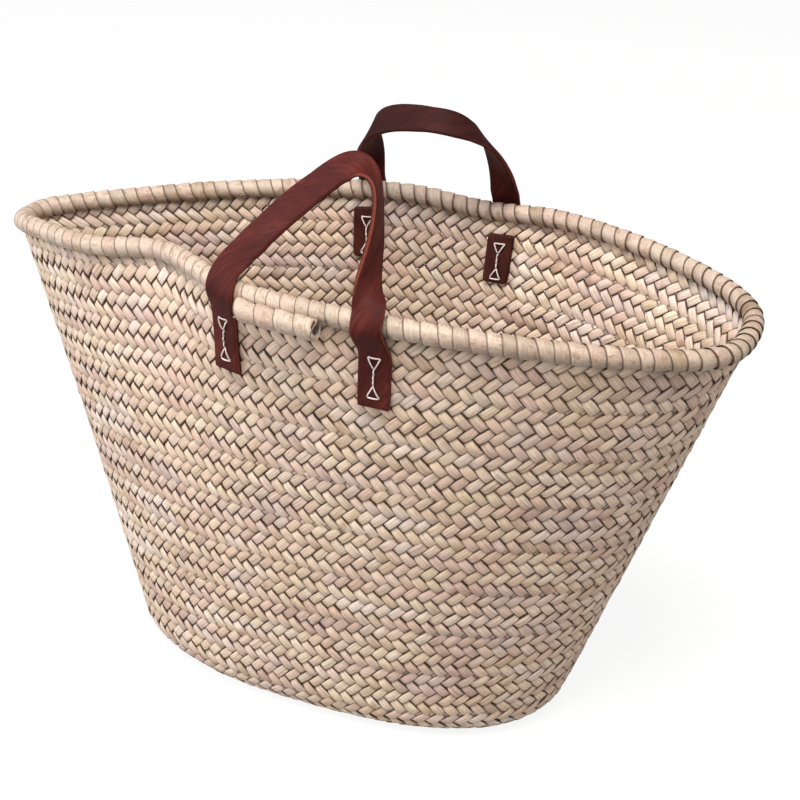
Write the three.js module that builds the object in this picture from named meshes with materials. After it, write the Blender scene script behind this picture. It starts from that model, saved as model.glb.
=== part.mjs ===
import * as THREE from 'three';

// Palm leaf basket bag. Millimetres, +Z up, +X along the basket's length, -Y to the front.

// Mouth: the line that the middle of the rim bundle follows.
const rimHalfLength = 282;
const rimHalfWidth = 113;
const rimFullness = 0.77;
const rimTaper = 0.25;
const rimPinch = 10.5;
const rimHeight = 348;
const rimSideRise = 10;
const rimFrontRise = 8;
const rimRightRise = 4.4;

// A dip in the front rim, left of the handle, and a sag in the rear rim, between the rear handle's legs.
const dipAngle = THREE.MathUtils.degToRad(246);
const dipSpread = THREE.MathUtils.degToRad(11);
const dipDepth = 21.5;
const dipRise = 3.2;
const sagAngle = THREE.MathUtils.degToRad(80);
const sagSpread = THREE.MathUtils.degToRad(9);
const sagDrop = 6.3;
const pushFade = 4;

// Base: an oval laid round a straight spine.
const spineHalfLength = 80.4;
const baseHalfWidth = 93.3;
const baseSquareness = 0.85;
const baseShiftX = -9.2;
const baseShiftY = -2.3;
const cornerBend = 22;

// The plait that is coiled into base and wall, and the cord that sews its turns together.
const braidThickness = 4;
const braidPitch = 41;
const seamCordRadius = 1.2;
const clearance = 0.3;
const seatClearance = 0.7;
const braidTipWidth = 2.5;

// The rim bundle: a core of leaves wrapped in a wide leaf, open below for the wall's edge.
const rimCoreRadius = 5;
const rimWrapRadius = 7;
const rimCoreSlack = 0.65;
const rimTailRadius = 7;
const rimTailBore = 4;
const rimTailDrop = THREE.MathUtils.degToRad(18);
const rimTailStartX = -30;
const rimTailEndX = 34;
const rimJointX = -43;

// Leather straps and what sews them on.
const strapWidth = 22;
const strapThickness = 3.5;
const strapGap = 2.4;
const hingeGap = 0.2;
const inwardSwing = THREE.MathUtils.degToRad(20);
const strapLean = THREE.MathUtils.degToRad(36);
const strapStraight = 9;
const tabStraight = 2.5;
const tabCrease = 18;
const tabLength = 42;
const patchLength = 42;
const patchRise = 4.5;
const patchThickness = 3;
const threadRadius = 0.6;
const threadWidth = 9;
const threadLength = 31;
const threadDrop = 3;

// Fineness of the solids.
const stationsPerTurn = 48;
const bendWeight = 80;
const braidColumns = 3;
const strapStations = 40;
const legSamples = 6;

// Each handle's ends: where the strap passes the rim, where it is sewn to the wall, and how much lower than
// the other ends. Then the loop's route in the handle's own frame: how far along the spacing of its ends,
// how high in its plane, how far out of that plane, and the strap's width direction in the same axes.
const frontHandle = {
  name: 'front',
  side: -1,
  left: { x: -43, sewnX: -46, drop: 0 },
  right: { x: 64.5, sewnX: 69.5, drop: 0 },
  route: [
    [-0.424, 28.5, -5.5, -0.91, 0.41, 0],
    [-0.246, 54, -2, -0.83, 0.55, -0.11],
    [-0.079, 76.5, -1.5, -0.73, 0.68, -0.1],
    [0.122, 96, 0.5, -0.22, 0.94, -0.25],
    [0.294, 88, -2, -0.33, 0.34, -0.88],
    [0.386, 59, -3, -0.14, 0.09, -0.99],
    [0.427, 24, -4.5, 0.36, -0.1, -0.92],
  ],
};
const rearHandle = {
  name: 'rear',
  side: 1,
  left: { x: -45, sewnX: -45.5, drop: 0 },
  right: { x: 61.5, sewnX: 66, drop: 4 },
  route: [
    [-0.482, 24, -4, -0.88, 0.17, 0.44],
    [-0.395, 70, 2, -0.18, -0.06, 0.98],
    [-0.221, 90, 1, 0.04, -0.1, 0.99],
    [0.075, 97, 1, 0.07, 0.04, 1],
    [0.276, 91, -1, 0.26, 0.13, 0.96],
    [0.422, 73.5, -3, 0.65, 0.3, 0.7],
    [0.481, 38.5, -4, 0.89, 0.22, 0.4],
  ],
};

const palmLeaf = () => new THREE.MeshStandardMaterial({ color: 0xc9b08f, roughness: 0.85, metalness: 0 });
const paleLeaf = () => new THREE.MeshStandardMaterial({ color: 0xe6d9bd, roughness: 0.8, metalness: 0 });
const leafCord = () => new THREE.MeshStandardMaterial({ color: 0xa98d63, roughness: 0.9, metalness: 0 });
const leather = () => new THREE.MeshStandardMaterial({ color: 0x5b2f2c, roughness: 0.6, metalness: 0 });
const whiteThread = () => new THREE.MeshStandardMaterial({ color: 0xe9dfe0, roughness: 0.7, metalness: 0 });

const up = new THREE.Vector3(0, 0, 1);

function signedPower(value, power) {
  return Math.sign(value) * Math.abs(value) ** power;
}

// How far the dip and the sag push the rim: backward and a little up at the dip, down at the sag.
function rimPush(angle) {
  const turned = THREE.MathUtils.euclideanModulo(angle, 2 * Math.PI);
  const dip = Math.exp(-(((turned - dipAngle) / dipSpread) ** 2));
  const sag = Math.exp(-(((turned - sagAngle) / sagSpread) ** 2));
  return new THREE.Vector3(0, dipDepth * dip, dipRise * dip - sagDrop * sag);
}

function rimPoint(angle) {
  const width = rimHalfWidth * signedPower(Math.sin(angle), rimFullness) * (1 + rimTaper * Math.cos(angle));
  const height = rimHeight - rimSideRise * Math.cos(2 * angle)
    - rimFrontRise * Math.sin(angle) + rimRightRise * Math.cos(angle);
  const backward = width - rimPinch * Math.sin(3 * angle);
  return new THREE.Vector3(rimHalfLength * Math.cos(angle), backward, height).add(rimPush(angle));
}

function basePoint(fromSpine, angle) {
  return new THREE.Vector3(
    baseShiftX + signedPower(Math.cos(angle), baseSquareness) * (spineHalfLength + fromSpine),
    baseShiftY + signedPower(Math.sin(angle), baseSquareness) * fromSpine,
    braidThickness / 2,
  );
}

// Direction of the wall where it meets the rim. The push fades downward as a power of the height.
function wallDirection(angle) {
  const straight = rimPoint(angle).sub(basePoint(baseHalfWidth, angle));
  return straight.addScaledVector(rimPush(angle), pushFade - 1).normalize();
}

// The wall's upper edge lies just under the rim's core.
function wallTop(angle) {
  return rimPoint(angle).addScaledVector(wallDirection(angle), -(rimCoreRadius + clearance));
}

function slantAt(angle) {
  return wallTop(angle).distanceTo(basePoint(baseHalfWidth, angle));
}

const wallSlant = (slantAt(Math.PI / 2) + slantAt(1.5 * Math.PI)) / 2;
const fullWidth = baseHalfWidth + wallSlant;

// Middle of the plaited sheet: "across" runs from the spine over the base, round the corner and up the wall.
function sheetPoint(across, angle) {
  const edge = basePoint(baseHalfWidth, angle);
  const push = rimPush(angle);
  const unpushed = wallTop(angle).sub(push);
  const onWall = (distance) => {
    const share = distance / wallSlant;
    return edge.clone().lerp(unpushed, share).addScaledVector(push, share ** pushFade);
  };
  const pastEdge = across - baseHalfWidth;
  if (pastEdge <= -cornerBend) {
    return basePoint(across, angle);
  }
  if (pastEdge >= cornerBend) {
    return onWall(pastEdge);
  }
  const share = (pastEdge + cornerBend) / (2 * cornerBend);
  const inner = basePoint(baseHalfWidth - cornerBend, angle);
  return inner.lerp(edge, share).lerp(edge.clone().lerp(onWall(cornerBend), share), share);
}

// Out of the basket: downward under the base, sideways on the wall.
function sheetNormal(across, angle) {
  const step = 0.01;
  const alongTurn = sheetPoint(across, angle + step).sub(sheetPoint(across, angle - step));
  const acrossTurn = sheetPoint(across + 1, angle).sub(sheetPoint(across - 1, angle));
  return alongTurn.cross(acrossTurn).normalize();
}

function offSheet(across, angle, offset) {
  return sheetPoint(across, angle).addScaledVector(sheetNormal(across, angle), offset);
}

// Angles that cut a turn into steps along the rim line, shorter where it bends.
const stepAngles = (() => {
  const fine = 2880;
  const lengths = [0];
  const rimChord = (i) => rimPoint((2 * Math.PI * (i + 1)) / fine).sub(rimPoint((2 * Math.PI * i) / fine));
  for (let i = 0; i < fine; i += 1) {
    const chord = rimChord(i);
    lengths.push(lengths[i] + chord.length() + bendWeight * chord.angleTo(rimChord(i + 1)));
  }
  const angles = [];
  let walk = 0;
  for (let i = 0; i < stationsPerTurn; i += 1) {
    const wanted = (lengths[fine] * i) / stationsPerTurn;
    while (lengths[walk + 1] < wanted) {
      walk += 1;
    }
    const share = (wanted - lengths[walk]) / (lengths[walk + 1] - lengths[walk]);
    angles.push((2 * Math.PI * (walk + share)) / fine);
  }
  return angles;
})();

function stationAngle(station) {
  const turn = Math.floor(station / stationsPerTurn);
  return stepAngles[station - turn * stationsPerTurn] + 2 * Math.PI * turn;
}

// A place on the flat facets between two stations, which is where the solids of braid and rim really are.
function onFacet(angle, place) {
  const turned = THREE.MathUtils.euclideanModulo(angle, 2 * Math.PI);
  let station = stationsPerTurn - 1;
  while (stationAngle(station) > turned) {
    station -= 1;
  }
  const from = stationAngle(station);
  const to = stationAngle(station + 1);
  return place(from).lerp(place(to), (turned - from) / (to - from));
}

function offFacet(across, angle, offset) {
  return onFacet(angle, (station) => offSheet(across, station, offset));
}

// Joins rings of points into one closed solid. Each ring is two equal rows, out along one and back along
// the other, and the ends are closed from row to row.
function skin(rings) {
  const count = rings[0].length;
  const triangles = [];
  const quad = (a, b, c, d) => triangles.push(a, b, c, a, c, d);
  for (let i = 0; i + 1 < rings.length; i += 1) {
    for (let k = 0; k < count; k += 1) {
      const next = (k + 1) % count;
      quad(i * count + k, i * count + next, (i + 1) * count + next, (i + 1) * count + k);
    }
  }
  const last = (rings.length - 1) * count;
  for (let k = 0; k + 1 < count / 2; k += 1) {
    quad(count - 1 - k, count - 2 - k, k + 1, k);
    quad(last + k, last + k + 1, last + count - 2 - k, last + count - 1 - k);
  }
  const points = rings.flat();
  let volume = 0;
  for (let i = 0; i < triangles.length; i += 3) {
    const [a, b, c] = [0, 1, 2].map((corner) => points[triangles[i + corner]]);
    volume += a.dot(b.clone().cross(c));
  }
  if (volume < 0) {
    triangles.reverse();
  }
  const geometry = new THREE.BufferGeometry().setFromPoints(points);
  geometry.setIndex(triangles);
  geometry.computeVertexNormals();
  return geometry;
}

function piece(name, geometry, material) {
  const mesh = new THREE.Mesh(geometry, material);
  mesh.name = name;
  return mesh;
}

// A round tube of a given radius, its rings square to the route.
function tube(points, radius, sides) {
  let sideways = new THREE.Vector3();
  const rings = points.map((point, i) => {
    const before = points[Math.max(i - 1, 0)];
    const after = points[Math.min(i + 1, points.length - 1)];
    const along = after.clone().sub(before).normalize();
    const start = i > 0 ? sideways : new THREE.Vector3(0, 0, 1).cross(along);
    if (start.length() < 0.1) {
      start.set(1, 0, 0);
    }
    sideways = start.clone().addScaledVector(along, -start.dot(along)).normalize();
    const other = along.clone().cross(sideways);
    return Array.from({ length: sides }, (_, k) => {
      const turn = (2 * Math.PI * (k + 0.5)) / sides;
      return point.clone()
        .addScaledVector(sideways, radius * Math.cos(turn))
        .addScaledVector(other, radius * Math.sin(turn));
    });
  });
  return skin(rings);
}

// One long plait, wound from the spine to the rim as a single spiral strip.
function braid() {
  const seamGap = 2 * (seamCordRadius + seatClearance);
  const rings = [];
  const lastStation = Math.floor((fullWidth / braidPitch + 1) * stationsPerTurn);
  for (let station = 0; station <= lastStation; station += 1) {
    const turns = station / stationsPerTurn;
    const outerEdge = Math.min(turns * braidPitch - seamGap / 2, fullWidth);
    const innerEdge = Math.max((turns - 1) * braidPitch + seamGap / 2, clearance * 2);
    if (outerEdge - innerEdge >= braidTipWidth) {
      const angle = stationAngle(station);
      const row = (offset) => Array.from({ length: braidColumns }, (_, column) => {
        const across = THREE.MathUtils.lerp(innerEdge, outerEdge, column / (braidColumns - 1));
        return offSheet(across, angle, offset);
      });
      rings.push([...row(braidThickness / 2), ...row(-braidThickness / 2).reverse()]);
    }
  }
  return piece('palm_braid', skin(rings), palmLeaf());
}

// The cord lies in the seam between one turn and the next.
function seamCord() {
  const points = [];
  const startTurn = 0.25;
  const endTurn = fullWidth / braidPitch - 0.15;
  const first = Math.ceil(startTurn * stationsPerTurn);
  const last = Math.floor(endTurn * stationsPerTurn);
  for (let station = first; station <= last; station += 1) {
    points.push(sheetPoint((station / stationsPerTurn) * braidPitch, stationAngle(station)));
  }
  return piece('seam_cord', tube(points, seamCordRadius, 4), leafCord());
}

function frontAngle(x) {
  return 2 * Math.PI - Math.acos(x / rimHalfLength);
}

function sideAngle(x, side) {
  return side < 0 ? frontAngle(x) : Math.acos(x / rimHalfLength);
}

// Frame of the rim at an angle: centre, direction up the wall and direction out of the basket.
function rimFrame(angle) {
  const rise = wallDirection(angle);
  const step = 0.01;
  const along = rimPoint(angle + step).sub(rimPoint(angle - step)).normalize();
  return { centre: onFacet(angle, rimPoint), rise, out: along.cross(rise).normalize() };
}

function inRimFrame(frame, radius, fromBelow) {
  return frame.centre.clone()
    .addScaledVector(frame.out, radius * Math.sin(fromBelow))
    .addScaledVector(frame.rise, -radius * Math.cos(fromBelow));
}

// Angles of the rim's stations, from one side of its joint round to the other.
function rimAngles(jointGap) {
  const joint = frontAngle(rimJointX);
  const half = jointGap / 2 / rimHalfLength;
  const angles = [joint + half];
  for (let station = 0; station < 2 * stationsPerTurn; station += 1) {
    const angle = stationAngle(station);
    if (angle > joint + 2 * half && angle < joint + 2 * Math.PI - 2 * half) {
      angles.push(angle);
    }
  }
  angles.push(joint + 2 * Math.PI - half);
  return angles;
}

function rimCore() {
  const sides = 8;
  const rings = rimAngles(clearance).map((angle) => {
    const frame = rimFrame(angle);
    return Array.from({ length: sides }, (_, k) => (
      inRimFrame(frame, rimCoreRadius, (2 * Math.PI * (k + 0.5)) / sides)
    ));
  });
  return piece('rim_core', skin(rings), palmLeaf());
}

// The wrap is a sleeve whose two lips hold the wall's upper edge between them.
function rimWrap() {
  const inner = rimCoreRadius + rimCoreSlack;
  const halfOpening = Math.asin((braidThickness / 2 + seatClearance) / inner);
  const arcSteps = 9;
  const rings = rimAngles(clearance).map((angle) => {
    const frame = rimFrame(angle);
    const row = (radius) => {
      const lip = Math.asin((inner * Math.sin(halfOpening)) / radius);
      return Array.from({ length: arcSteps + 1 }, (_, k) => (
        inRimFrame(frame, radius, THREE.MathUtils.lerp(lip, 2 * Math.PI - lip, k / arcSteps))
      ));
    };
    return [...row(rimWrapRadius), ...row(inner).reverse()];
  });
  return piece('rim_wrap', skin(rings), paleLeaf());
}

// The wrapped bundle's end passes in front of the rim between the front handle's legs and is cut open.
function rimTail() {
  const sides = 10;
  const steps = 8;
  const spacing = rimWrapRadius + rimTailRadius + clearance;
  const rings = Array.from({ length: steps + 1 }, (_, i) => {
    const x = THREE.MathUtils.lerp(rimTailStartX, rimTailEndX, i / steps);
    const frame = rimFrame(frontAngle(x));
    frame.centre.addScaledVector(frame.out, spacing * Math.cos(rimTailDrop));
    frame.centre.addScaledVector(frame.rise, -spacing * Math.sin(rimTailDrop));
    const seam = 0.02;
    const row = (radius) => Array.from({ length: sides + 1 }, (_, k) => (
      inRimFrame(frame, radius, Math.PI / 2 + THREE.MathUtils.lerp(seam, 2 * Math.PI - seam, k / sides))
    ));
    return [...row(rimTailRadius), ...row(rimTailBore).reverse()];
  });
  return piece('rim_tail', skin(rings), paleLeaf());
}

// Where a strap's leg passes the rim: the hinge line lies on the strap's outer face, above and outside.
function strapLeg(x, side) {
  const samples = Array.from({ length: 2 * legSamples + 1 }, (_, i) => (
    onFacet(sideAngle(x + (strapWidth / 2) * (i / legSamples - 1), side), rimPoint)
  ));
  const along = samples[2 * legSamples].clone().sub(samples[0]).setZ(0).normalize();
  const outward = up.clone().cross(along).multiplyScalar(side);
  const centre = samples[legSamples];
  const bulge = Math.max(...samples.map((sample) => sample.clone().sub(centre).dot(outward)));
  centre.addScaledVector(outward, bulge);
  const reach = rimWrapRadius + strapGap + strapThickness / 2;
  const anchor = centre.clone()
    .addScaledVector(outward, reach * Math.cos(strapLean))
    .addScaledVector(up, reach * Math.sin(strapLean));
  return { centre, outward, along, reach, anchor };
}

// The handle's own frame: along the hinge axis, up in the loop's plane, and outward from that plane.
function handleFrame(handle) {
  const left = strapLeg(handle.left.x, handle.side);
  const right = strapLeg(handle.right.x, handle.side);
  const along = right.anchor.clone().sub(left.anchor);
  const spacing = along.length();
  along.normalize();
  const inward = up.clone().cross(along).multiplyScalar(-handle.side).normalize();
  const rise = inward.multiplyScalar(Math.sin(strapLean)).addScaledVector(up, Math.cos(strapLean));
  rise.addScaledVector(along, -rise.dot(along)).normalize();
  const normal = along.clone().cross(rise);
  const outward = normal.clone().multiplyScalar(-handle.side);
  const middle = left.anchor.clone().add(right.anchor).multiplyScalar(0.5);
  return { left, right, along, spacing, rise, normal, outward, middle };
}

function inHandleFrame(frame, along, rise, normal) {
  return new THREE.Vector3()
    .addScaledVector(frame.along, along)
    .addScaledVector(frame.rise, rise)
    .addScaledVector(frame.normal, normal);
}

// A flat strap along points, with the direction of its width at each. The bevel slopes its last end away.
function strap(points, widths, bevel = 0) {
  const last = points.length - 1;
  const rings = points.map((point, i) => {
    const before = points[Math.max(i - 1, 0)];
    const after = points[Math.min(i + 1, last)];
    const along = after.clone().sub(before).normalize();
    const across = widths[i].clone().addScaledVector(along, -widths[i].dot(along)).normalize();
    const through = along.clone().cross(across);
    const corner = (w, t) => point.clone()
      .addScaledVector(across, (w * strapWidth) / 2)
      .addScaledVector(through, (t * strapThickness) / 2)
      .addScaledVector(along, i === last && t * bevel > 0 ? -Math.abs(bevel) : 0);
    return [corner(-1, 1), corner(1, 1), corner(1, -1), corner(-1, -1)];
  });
  return skin(rings);
}

// The free loop of a handle, from hinge line to hinge line.
function handleLoop(handle) {
  const frame = handleFrame(handle);
  const upFrom = (leg, distance) => leg.anchor.clone().addScaledVector(frame.rise, distance);
  const backward = frame.along.clone().negate();
  const points = [upFrom(frame.left, strapStraight / 3), upFrom(frame.left, strapStraight)];
  const widths = [backward, backward];
  for (const [along, rise, off, w1, w2, w3] of handle.route) {
    points.push(frame.middle.clone().add(inHandleFrame(frame, along * frame.spacing, rise, off)));
    widths.push(inHandleFrame(frame, w1, w2, w3));
  }
  points.push(upFrom(frame.right, strapStraight), upFrom(frame.right, strapStraight / 3));
  widths.push(frame.along, frame.along);
  const route = new THREE.CatmullRomCurve3(points, false, 'catmullrom', 0.5);
  const turning = new THREE.CatmullRomCurve3(widths, false, 'catmullrom', 0.5);
  const between = (first, curve, last) => [first, ...curve.getPoints(strapStations), last];
  const middles = between(upFrom(frame.left, hingeGap), route, upFrom(frame.right, hingeGap));
  const directions = between(backward, turning, frame.along);
  return piece(`${handle.name}_handle_loop`, strap(middles, directions), leather());
}

// A flat seat on the wall, outside it or inside where the offset is below 0, that clears the wall's bulge
// over a width and a height.
function wallSeat(across, x, side, offset, width, height) {
  const rowAt = (rise) => Array.from({ length: 2 * legSamples + 1 }, (_, i) => (
    offFacet(across + rise, sideAngle(x + (width / 2) * (i / legSamples - 1), side), offset)
  ));
  const [low, row, high] = [-height / 2, 0, height / 2].map(rowAt);
  const along = row[2 * legSamples].clone().sub(row[0]).normalize();
  const rise = wallDirection(sideAngle(x, side));
  const facing = along.clone().cross(rise).multiplyScalar(-side * Math.sign(offset)).normalize();
  const centre = row[legSamples].clone();
  const reaches = [...low, ...row, ...high].map((sample) => sample.clone().sub(centre).dot(facing));
  const bulge = Math.max(...reaches);
  return { point: centre.addScaledVector(facing, bulge), along, rise };
}

// The sewn end of a strap: up the wall from its lower end, out at the crease and round the rim.
function strapTab(handle, end) {
  const frame = handleFrame(handle);
  const leg = frame[end];
  const { sewnX, drop } = handle[end];
  const offset = braidThickness / 2 + 2 * clearance + strapThickness / 2;
  const points = [];
  const widths = [];
  const wallSteps = 4;
  for (let i = 0; i <= wallSteps; i += 1) {
    const below = tabCrease + drop + tabLength * (1 - i / wallSteps) - rimCoreRadius - clearance;
    const seat = wallSeat(fullWidth - below, sewnX, handle.side, offset, strapWidth, 0);
    points.push(seat.point);
    widths.push(seat.along);
  }
  const arcSteps = 5;
  for (let i = 0; i <= arcSteps; i += 1) {
    const turn = THREE.MathUtils.lerp(-0.35, strapLean - 0.3, i / arcSteps);
    points.push(leg.centre.clone()
      .addScaledVector(leg.outward, leg.reach * Math.cos(turn))
      .addScaledVector(up, leg.reach * Math.sin(turn)));
    widths.push(leg.along.clone().lerp(frame.along, i / arcSteps));
  }
  for (const below of [tabStraight, hingeGap]) {
    points.push(leg.anchor.clone().addScaledVector(frame.rise, -below));
    widths.push(frame.along);
  }
  const bevel = -handle.side * (strapThickness * Math.tan(inwardSwing) + hingeGap);
  return piece(`${handle.name}_strap_tab_${end}`, strap(points, widths, bevel), leather());
}

// A leather patch inside the wall, behind each tab, bent to the wall.
function backingPatch(handle, end) {
  const { sewnX, drop } = handle[end];
  const upper = fullWidth + rimCoreRadius + clearance - tabCrease - drop + patchRise;
  const seat = braidThickness / 2 + 2 * clearance;
  const steps = 4;
  const rings = Array.from({ length: steps + 1 }, (_, i) => {
    const angle = sideAngle(sewnX + strapWidth * (i / steps - 0.5), handle.side);
    const row = (offset) => [upper - patchLength, upper].map((across) => offFacet(across, angle, -offset));
    return [...row(seat), ...row(seat + patchThickness).reverse()];
  });
  return piece(`${handle.name}_backing_patch_${end}`, skin(rings), leather());
}

// One thread's visible figure on a tab or a patch: a triangle, a long stitch and a triangle again.
function stitching(handle, end, face) {
  const { sewnX, drop } = handle[end];
  const crease = fullWidth + rimCoreRadius + clearance - tabCrease - drop;
  const middle = crease - threadDrop - threadLength / 2;
  const outer = braidThickness / 2 + 2 * clearance + strapThickness + clearance + threadRadius;
  const inner = braidThickness / 2 + 3 * clearance + patchThickness + clearance + threadRadius;
  const [offset, width] = face === 'outer' ? [outer, strapWidth] : [-inner, threadWidth];
  const seat = wallSeat(middle, sewnX, handle.side, offset, width, threadLength);
  const half = threadLength / 2;
  const apex = half - threadWidth * 1.1;
  const aside = 3 * threadRadius;
  const figure = [
    [-aside, -apex - aside],
    [-threadWidth / 2, -half],
    [threadWidth / 2, -half],
    [aside / 2, -apex],
    [-aside / 2, apex],
    [-threadWidth / 2, half],
    [threadWidth / 2, half],
    [aside, apex + aside],
  ];
  const points = figure.map(([x, y]) => (
    seat.point.clone().addScaledVector(seat.along, x).addScaledVector(seat.rise, y)
  ));
  return piece(`${handle.name}_stitching_${end}_${face}`, tube(points, threadRadius, 6), whiteThread());
}

const bag = new THREE.Group();
bag.name = 'palm_leaf_basket_bag';
bag.add(braid(), seamCord(), rimCore(), rimWrap(), rimTail());
for (const handle of [frontHandle, rearHandle]) {
  bag.add(handleLoop(handle));
  for (const end of ['left', 'right']) {
    bag.add(strapTab(handle, end), backingPatch(handle, end));
    bag.add(stitching(handle, end, 'outer'), stitching(handle, end, 'inner'));
  }
}

// The origin is the middle of the bag's footprint, on the surface that it stands on.
const extent = new THREE.Box3().setFromObject(bag, true);
const middle = extent.getCenter(new THREE.Vector3());
bag.position.set(-middle.x, -middle.y, -extent.min.z);

export default bag;
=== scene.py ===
import math

import bmesh
import bpy
import numpy as np
from mathutils import Matrix, Vector


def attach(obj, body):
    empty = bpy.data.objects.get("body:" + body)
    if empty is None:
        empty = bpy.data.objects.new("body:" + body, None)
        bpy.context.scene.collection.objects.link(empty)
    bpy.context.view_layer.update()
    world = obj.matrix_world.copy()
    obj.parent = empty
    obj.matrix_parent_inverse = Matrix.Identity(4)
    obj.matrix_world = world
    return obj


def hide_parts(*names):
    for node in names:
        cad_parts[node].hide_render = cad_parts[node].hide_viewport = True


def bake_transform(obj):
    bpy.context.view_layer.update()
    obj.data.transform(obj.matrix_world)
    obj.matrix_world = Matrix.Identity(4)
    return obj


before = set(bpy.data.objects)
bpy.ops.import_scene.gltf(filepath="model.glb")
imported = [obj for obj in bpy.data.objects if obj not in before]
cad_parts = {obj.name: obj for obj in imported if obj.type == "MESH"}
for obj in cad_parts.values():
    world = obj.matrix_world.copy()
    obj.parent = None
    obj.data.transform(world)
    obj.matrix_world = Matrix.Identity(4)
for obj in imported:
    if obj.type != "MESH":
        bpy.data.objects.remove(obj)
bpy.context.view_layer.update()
print("frame loaded:", len(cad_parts), "nodes")

mm = 0.001
zAxis = np.array([0.0, 0.0, 1.0])
turnStep = 0.01  # the angle over which a direction along the rim is measured

# Camera: where the photograph was taken from, worked out from the rim, the outline and the strap ends.
cameraSet = {
    "azimuth": 23.22,
    "elevation": 29.54,
    "roll": 0.2,
    "aim": (0.0172, 0.0362, 0.217),
    "distance": 1.2818,
    "lens": 75.04,
    "sensor": 36.0,
}


def addCamera():
    turn, lift = math.radians(cameraSet["azimuth"]), math.radians(cameraSet["elevation"])
    back = Vector((math.sin(turn) * math.cos(lift), -math.cos(turn) * math.cos(lift), math.sin(lift)))
    side = Vector((math.cos(turn), math.sin(turn), 0))
    top = back.cross(side)
    roll = math.radians(cameraSet["roll"])
    rolledSide = side * math.cos(roll) + top * math.sin(roll)
    rolledTop = top * math.cos(roll) - side * math.sin(roll)
    data = bpy.data.cameras.new("photoCamera")
    data.lens = cameraSet["lens"]
    data.sensor_width = cameraSet["sensor"]
    camera = bpy.data.objects.new("photoCamera", data)
    turned = Matrix((rolledSide, rolledTop, back)).transposed().to_4x4()
    camera.matrix_world = Matrix.Translation(Vector(cameraSet["aim"]) + back * cameraSet["distance"]) @ turned
    bpy.context.scene.collection.objects.link(camera)
    bpy.context.scene.camera = camera


addCamera()
print("camera placed")


# Node trees, for shaders and for geometry. A Link is one output, and signs between Links add Math nodes.
class Link:
    def __init__(self, tree, socket):
        self.tree = tree
        self.socket = socket

    def math(self, operation, *others, clamp=False):
        node = self.tree.nodes.new("ShaderNodeMath")
        node.operation = operation
        node.use_clamp = clamp
        for place, value in enumerate((self, *others)):
            join(self.tree, node.inputs[place], value)
        return Link(self.tree, node.outputs[0])

    def __add__(self, other):
        return self.math("ADD", other)

    def __radd__(self, other):
        return self.math("ADD", other)

    def __sub__(self, other):
        return self.math("SUBTRACT", other)

    def __rsub__(self, other):
        return (self * -1).math("ADD", other)

    def __mul__(self, other):
        return self.math("MULTIPLY", other)

    def __rmul__(self, other):
        return self.math("MULTIPLY", other)

    def __truediv__(self, other):
        return self.math("DIVIDE", other)

    def __neg__(self):
        return self * -1

    def sine(self):
        return self.math("SINE")

    def root(self):
        return self.math("SQRT")

    def whole(self):
        return self.math("FLOOR")

    def part(self):
        return self.math("FRACT")

    def size(self):
        return self.math("ABSOLUTE")

    def clamped(self):
        return self.math("ADD", 0.0, clamp=True)

    def least(self, other):
        return self.math("MINIMUM", other)

    def most(self, other):
        return self.math("MAXIMUM", other)

    def under(self, other):
        return self.math("LESS_THAN", other)

    def between(self, start, end):
        return ((self - start) / (end - start)).clamped()


def join(tree, socket, value):
    if isinstance(value, Link):
        tree.links.new(value.socket, socket)
    elif value is not None:
        socket.default_value = value


class Node:
    def __init__(self, tree, node):
        self.tree = tree
        self.node = node

    def __getitem__(self, name):
        if isinstance(name, int):
            return Link(self.tree, self.node.outputs[name])
        named = [socket for socket in self.node.outputs if socket.name == name and socket.enabled]
        return Link(self.tree, named[0])


def add(tree, kind, settings=None, values=None):
    node = tree.nodes.new(kind)
    for name, value in (settings or {}).items():
        if name == "stops":
            paintRamp(node.color_ramp, value)
        else:
            setattr(node, name, value)
    for name, value in (values or {}).items():
        if isinstance(name, int):
            join(tree, node.inputs[name], value)
        else:
            named = [socket for socket in node.inputs if socket.name == name and socket.enabled]
            join(tree, named[0], value)
    return Node(tree, node)


def paintRamp(ramp, stops):
    while len(ramp.elements) < len(stops):
        ramp.elements.new(0.5)
    for element, (place, colour) in zip(ramp.elements, stops):
        element.position = place
        element.color = colour


# A colour as a screen shows it, in the linear light that the nodes work in.
def paint(red, green, blue):
    shares = [value / 255 for value in (red, green, blue)]
    return (*(s / 12.92 if s <= 0.04045 else ((s + 0.055) / 1.055) ** 2.4 for s in shares), 1.0)


def vector(tree, x, y, z):
    return add(tree, "ShaderNodeCombineXYZ", None, {"X": x, "Y": y, "Z": z})["Vector"]


def parts(tree, link):
    split = add(tree, "ShaderNodeSeparateXYZ", None, {"Vector": link})
    return split["X"], split["Y"], split["Z"]


def setInput(shader, name, value):
    join(shader.tree, shader.node.inputs[name], value)


# The three numbers of an attribute that the mesh carries.
def spotOf(tree, name):
    return parts(tree, attribute(tree, name)["Vector"])


def attribute(tree, name):
    return add(tree, "ShaderNodeAttribute", {"attribute_type": "GEOMETRY", "attribute_name": name})


def newMaterial(name):
    material = bpy.data.materials.new(name)
    material.use_nodes = True
    tree = material.node_tree
    tree.nodes.clear()
    shader = add(tree, "ShaderNodeBsdfPrincipled", None, {"Roughness": 0.8})
    out = add(tree, "ShaderNodeOutputMaterial")
    tree.links.new(shader[0].socket, out.node.inputs["Surface"])
    return material, tree, shader


# Noise at a spot of three numbers, each stretched by its own scale.
def noise(tree, spot, grain):
    scales, detail, roughness = grain
    values = {
        "Vector": vector(tree, *(value * scale for value, scale in zip(spot, scales))),
        "Scale": 1.0, "Detail": detail, "Roughness": roughness,
    }
    return add(tree, "ShaderNodeTexNoise", {"noise_dimensions": "3D"}, values)["Fac"]


def coloured(tree, value, stops):
    stops = [(place, paint(*colour)) for place, colour in stops]
    return add(tree, "ShaderNodeValToRGB", {"stops": stops}, {"Fac": value})["Color"]


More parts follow.
